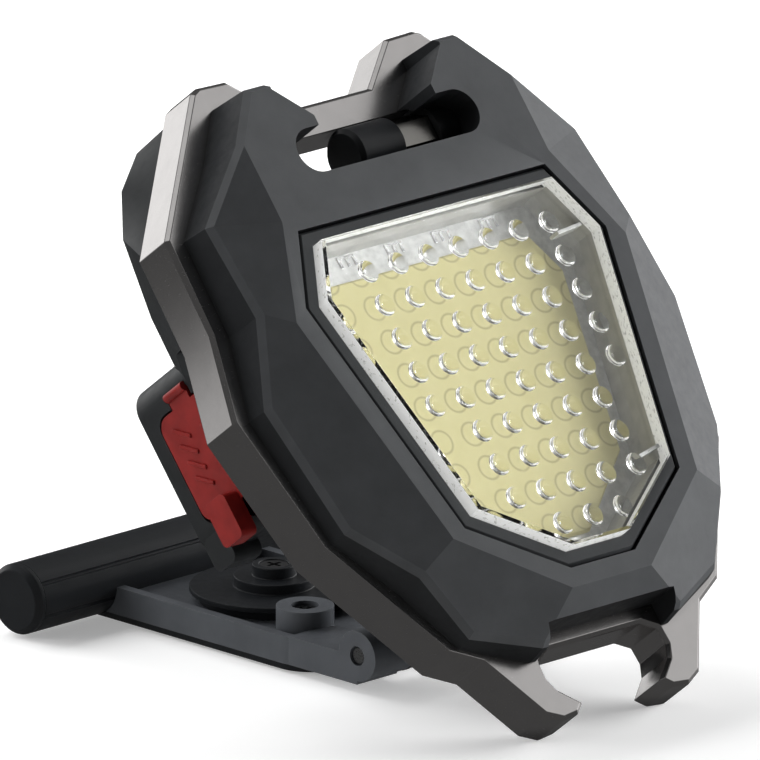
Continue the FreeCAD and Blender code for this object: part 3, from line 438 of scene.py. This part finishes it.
def round_edges(piece, width, angle):
    """Round every edge that turns by more than the angle, in degrees."""
    bevel = piece.modifiers.new("edges", "BEVEL")
    bevel.width = width
    bevel.segments = 3
    bevel.limit_method = "ANGLE"
    bevel.angle_limit = math.radians(angle)
    bevel.use_clamp_overlap = True
    bevel.harden_normals = True
    bevel.miter_outer = "MITER_ARC"


def softened(node, material, width, angle=28.0, folds=28.0):
    """A CAD node rebuilt with softly rounded edges, in its place."""
    mesh = cleaned(node)
    keep_folds(mesh, folds)
    piece = add_object(node + "_skin", mesh, material, BODY_OF[node])
    round_edges(piece, width, angle)
    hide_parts(node)


def bezel():
    """The bezel, with a darker, duller copy of its plastic down its sides as painted shade."""
    mesh = cleaned("front_bezel")
    keep_folds(mesh, 4.0)
    for face in mesh.faces:
        # faces that run front to back get the darker copy, as painted shade
        face.material_index = 1 if abs(face.normal.dot(HEAD_Y)) < 0.3 else 0
    piece = add_object("front_bezel_skin", mesh, BEZEL, "head")
    piece.data.materials.append(BEZEL_SIDE_PAINTED_SHADE)
    round_edges(piece, 0.10 * MM, 6.0)
    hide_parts("front_bezel")


def clear_lens():
    """The lens: polished front and dots, ground outer rim, satin inner walls."""
    mesh = cleaned("lens")
    keep_folds(mesh, 28.0)
    for face in mesh.faces:
        outwards = face.calc_center_median() - HEAD_ORIGIN
        faces_in = outwards.dot(face.normal) < 0
        face.material_index = (2 if faces_in else 1) if is_wall(face) else 0
    piece = add_object("lens_skin", mesh, LENS_CLEAR, "head")
    piece.data.materials.append(LENS_FROSTED_PAINTED_GLOW)
    piece.data.materials.append(LENS_INNER)
    round_edges(piece, 0.05 * MM, 30.0)
    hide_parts("lens")


def head_block(mesh, centre, size, turn=0.0, height_axis="y"):
    """Add a box to a mesh, given in the head's own axes in millimetres."""
    made = bmesh.ops.create_cube(mesh, size=1.0)["verts"]
    bmesh.ops.scale(mesh, vec=Vector(size) * MM, verts=made)
    bmesh.ops.rotate(mesh, cent=(0, 0, 0), matrix=Matrix.Rotation(turn, 3, height_axis.upper()), verts=made)
    bmesh.ops.translate(mesh, vec=Vector(centre) * MM, verts=made)
    bmesh.ops.transform(mesh, matrix=HEAD, verts=made)


def rounded_piece(name, mesh, material, body, width):
    piece = add_object(name, mesh, material, body)
    bevel = piece.modifiers.new("edges", "BEVEL")
    bevel.width = width
    bevel.segments = 3
    bevel.harden_normals = True
    return piece


def board_pads():
    """Tinned solder pads in groups of bars along the top margin of the light board."""
    mesh = bmesh.new()
    for column in range(4):
        x = PAD_START_X + PAD_PITCH * column
        for dx in (-0.9, 0.0, 0.9):
            head_block(mesh, (x + dx, BOARD_FRONT_Y, PAD_Z), (0.32, 0.06, 1.1))
        head_block(mesh, (x, BOARD_FRONT_Y, PAD_Z + 0.45), (2.1, 0.06, 0.24))
    rounded_piece("board_pads", mesh, SOLDER, "head", 0.02 * MM)


def lens_ribs():
    """Two short ribs inside the lens, at the corners of its right wall, painted pale as a painted highlight."""
    mesh = bmesh.new()
    head_block(mesh, (14.6, -3.95, 10.45), (3.2, 1.3, 0.34), math.radians(-5))
    head_block(mesh, (11.0, -3.95, -11.7), (2.8, 1.3, 0.34), math.radians(-10))
    rounded_piece("lens_ribs", mesh, RIB_PAINTED_HIGHLIGHT, "head", 0.06 * MM)


def cover_ridges():
    """Raised grip pattern on the rubber port cover: two rows of slanted bars."""
    mesh = bmesh.new()
    x = -24.17
    for i in range(4):
        head_block(mesh, (x, 11.0, 6.4 - 1.6 * i), (0.34, 2.4, 0.40), math.radians(38), "x")
    for i in range(4):
        head_block(mesh, (x, 7.6, 5.6 - 1.3 * i), (0.34, 1.5, 0.36), math.radians(20), "x")
    rounded_piece("port_cover_ridges", mesh, RED_SILICONE, "port_cover", 0.10 * MM)


bezel()
softened("lens_trim_ring", TRIM, 0.08 * MM)
softened("metal_frame", FRAME_METAL, 0.12 * MM, 16.0, folds=16.0)
softened("rear_case", CASE, 0.15 * MM, 12.0, folds=12.0)
softened("stand_plate", TRAY, 0.12 * MM)
softened("magnet_retainer", STAND, 0.10 * MM)
softened("foot_bar", STAND, 0.05 * MM)
softened("bar_end_caps", STAND, 0.10 * MM)
softened("port_cover", RED_SILICONE, 0.16 * MM)
softened("power_button", BLACK_RUBBER, 0.10 * MM)
softened("bit_collar", STAND, 0.08 * MM)
softened("driver_bit", BIT_STEEL, 0.06 * MM)
clear_lens()
board_pads()
lens_ribs()
cover_ridges()

PAINT = {"base_cover": STAND, "magnet": MAGNET_METAL, "magnet_keeper": PIN_STEEL, "magnet_screw": SCREW_STEEL,
         "stand_screws": SCREW_STEEL, "hinge_pin": PIN_STEEL, "hinge_washers": BLACK_RUBBER,
         "lens_gasket": BLACK_RUBBER, "reflector_frame": REFLECTOR, "cob_board": BOARD_WHITE,
         "phosphor_panel": PHOSPHOR_PAINTED_GLOW, "heat_spreader": ALUMINIUM, "led_wires": WIRE, "battery_foam": FOAM,
         "battery_cell": FOIL, "battery_wires": WIRE, "control_board": CIRCUIT, "board_components": CHIP,
         "usb_socket_shell": SOCKET_METAL, "usb_socket_tongue": CHIP, "power_switch": SOCKET_METAL,
         "case_screws": SCREW_STEEL, "bit_sleeve": CASE}
for node_name, finish in PAINT.items():
    paint(frame["nodes"][node_name], finish)


# ---- studio ------------------------------------------------------------------------------------------

CAMERA_AZIMUTH = math.radians(-44.7)
CAMERA_ELEVATION = math.radians(16.3)
CAMERA_DISTANCE = 2.5
VIEW_WIDTH = 68.5 * MM
TOWARDS_CAMERA = Vector((math.sin(CAMERA_AZIMUTH) * math.cos(CAMERA_ELEVATION),
                         -math.cos(CAMERA_AZIMUTH) * math.cos(CAMERA_ELEVATION),
                         math.sin(CAMERA_ELEVATION)))


def add_camera():
    data = bpy.data.cameras.new("camera")
    camera = bpy.data.objects.new("camera", data)
    bpy.context.scene.collection.objects.link(camera)
    right = Vector((0, 0, 1)).cross(TOWARDS_CAMERA).normalized()
    up = TOWARDS_CAMERA.cross(right)
    aim = HEAD_ORIGIN - right * 8.24 * MM + up * 0.77 * MM
    camera.location = aim + TOWARDS_CAMERA * CAMERA_DISTANCE
    camera.rotation_euler = Matrix((right, up, TOWARDS_CAMERA)).transposed().to_euler()
    data.sensor_width = 36.0
    data.lens = data.sensor_width * CAMERA_DISTANCE / VIEW_WIDTH
    data.clip_start = 0.5
    data.clip_end = 50.0
    bpy.context.scene.camera = camera


def add_light(name, direction, distance, width, height, power, colour=(1, 1, 1)):
    """Soft rectangular light that faces the head."""
    data = bpy.data.lights.new(name, "AREA")
    data.shape = "RECTANGLE"
    data.size = width
    data.size_y = height
    data.energy = power
    data.color = colour
    light = bpy.data.objects.new(name, data)
    bpy.context.scene.collection.objects.link(light)
    towards = Vector(direction).normalized()
    light.location = HEAD_ORIGIN + towards * distance
    light.rotation_euler = towards.to_track_quat("Z", "Y").to_euler()
    light.visible_camera = False
    light.visible_glossy = False
    return light


FORWARD_TURN = math.radians(128.55)   # the head's forward limit
FLOOR_DROP = 22.6 * MM                # how far the lens then reaches below the stand


def add_floor():
    """Pale floor that sinks with the head when it folds forward, below the stand."""
    mesh = bmesh.new()
    half = 3.0
    corners = [mesh.verts.new((x * half, y * half, 0.0)) for x, y in ((-1, -1), (1, -1), (1, 1), (-1, 1))]
    mesh.faces.new(corners)
    data = bpy.data.meshes.new("floor")
    mesh.to_mesh(data)
    mesh.free()
    floor = bpy.data.objects.new("floor", data)
    floor.location.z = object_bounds()[0].z - 0.02 * MM
    bpy.context.scene.collection.objects.link(floor)
    m = Material("floor_paper")
    tint = m.mix(m.remap(m.noise(0.4), 0.3, 0.7, 0.0, 1.0), (0.86, 0.86, 0.86), (0.90, 0.90, 0.90))
    m.link(tint, m.shader.inputs["Base Color"])
    m.link(tint, m.shader.inputs["Emission Color"])
    m.set(Roughness=0.9, Specular_IOR_Level=0.1, Emission_Strength=0.35)
    data.materials.append(m.material)
    floor.visible_glossy = False
    sink = floor.constraints.new("TRANSFORM")
    sink.target = frame["bodies"]["head"]
    sink.map_from = "ROTATION"
    sink.map_to = "LOCATION"
    sink.from_min_x_rot = 0.0
    sink.from_max_x_rot = FORWARD_TURN
    sink.map_to_z_from = "X"
    sink.to_max_z = -FLOOR_DROP


WORLD_GLOW = 0.07
# directions that reflections see as bright: direction, where it starts and is full, strength
WORLD_LOBES = [((0.08, 1.0, 0.14), 0.92, 0.99, 1.10),      # horizon behind
               ((1.0, 0.05, 0.20), 0.80, 0.97, 1.00),      # right-hand wall
               ((0.80, -0.42, 0.50), 0.86, 0.96, 0.50),    # front right
               ((-0.38, 0.92, 0.08), 0.93, 0.985, 0.50),   # behind, slightly left
               ((-0.15, 0.28, 0.95), 0.90, 0.97, 0.60)]    # straight above


def add_world():
    """White studio: the camera sees white, scattered light is even, reflections see soft bright walls."""
    world = bpy.data.worlds.new("studio")
    bpy.context.scene.world = world
    world.use_nodes = True
    tree = world.node_tree
    walls = tree.nodes["Background"]
    walls.inputs["Color"].default_value = (1, 1, 1, 1)
    coords = tree.nodes.new("ShaderNodeTexCoord")
    glow = None
    for direction, start, full, strength in WORLD_LOBES:
        dot = tree.nodes.new("ShaderNodeVectorMath")
        dot.operation = "DOT_PRODUCT"
        dot.inputs[1].default_value = Vector(direction).normalized()
        tree.links.new(coords.outputs["Generated"], dot.inputs[0])
        fade = tree.nodes.new("ShaderNodeMapRange")
        fade.interpolation_type = "SMOOTHSTEP"
        for key, value in (("From Min", start), ("From Max", full), ("To Min", 0.0), ("To Max", strength)):
            fade.inputs[key].default_value = value
        tree.links.new(dot.outputs["Value"], fade.inputs["Value"])
        total = tree.nodes.new("ShaderNodeMath")
        total.operation = "ADD"
        total.inputs[1].default_value = WORLD_GLOW
        tree.links.new(fade.outputs["Result"], total.inputs[0])
        if glow:
            tree.links.new(glow, total.inputs[1])
        glow = total.outputs[0]
    tree.links.new(glow, walls.inputs["Strength"])
    path = tree.nodes.new("ShaderNodeLightPath")
    last = walls
    for ray, strength in (("Is Diffuse Ray", 0.08), ("Is Camera Ray", 1.0)):
        even = tree.nodes.new("ShaderNodeBackground")
        even.inputs["Color"].default_value = (1, 1, 1, 1)
        even.inputs["Strength"].default_value = strength
        choose = tree.nodes.new("ShaderNodeMixShader")
        tree.links.new(path.outputs[ray], choose.inputs[0])
        tree.links.new(last.outputs[0], choose.inputs[1])
        tree.links.new(even.outputs[0], choose.inputs[2])
        last = choose
    tree.links.new(last.outputs[0], tree.nodes["World Output"].inputs["Surface"])


add_camera()
add_floor()
add_world()
add_light("key_right", (0.92, -0.38, 0.10), 0.60, 0.50, 0.40, 9.5)
add_light("back_top", (-0.05, 0.80, 0.62), 0.60, 0.60, 0.60, 4.5)
add_light("fill_left", (-0.80, 0.58, 0.20), 0.60, 0.40, 0.40, 2.0)
bpy.context.scene.view_settings.view_transform = "Standard"
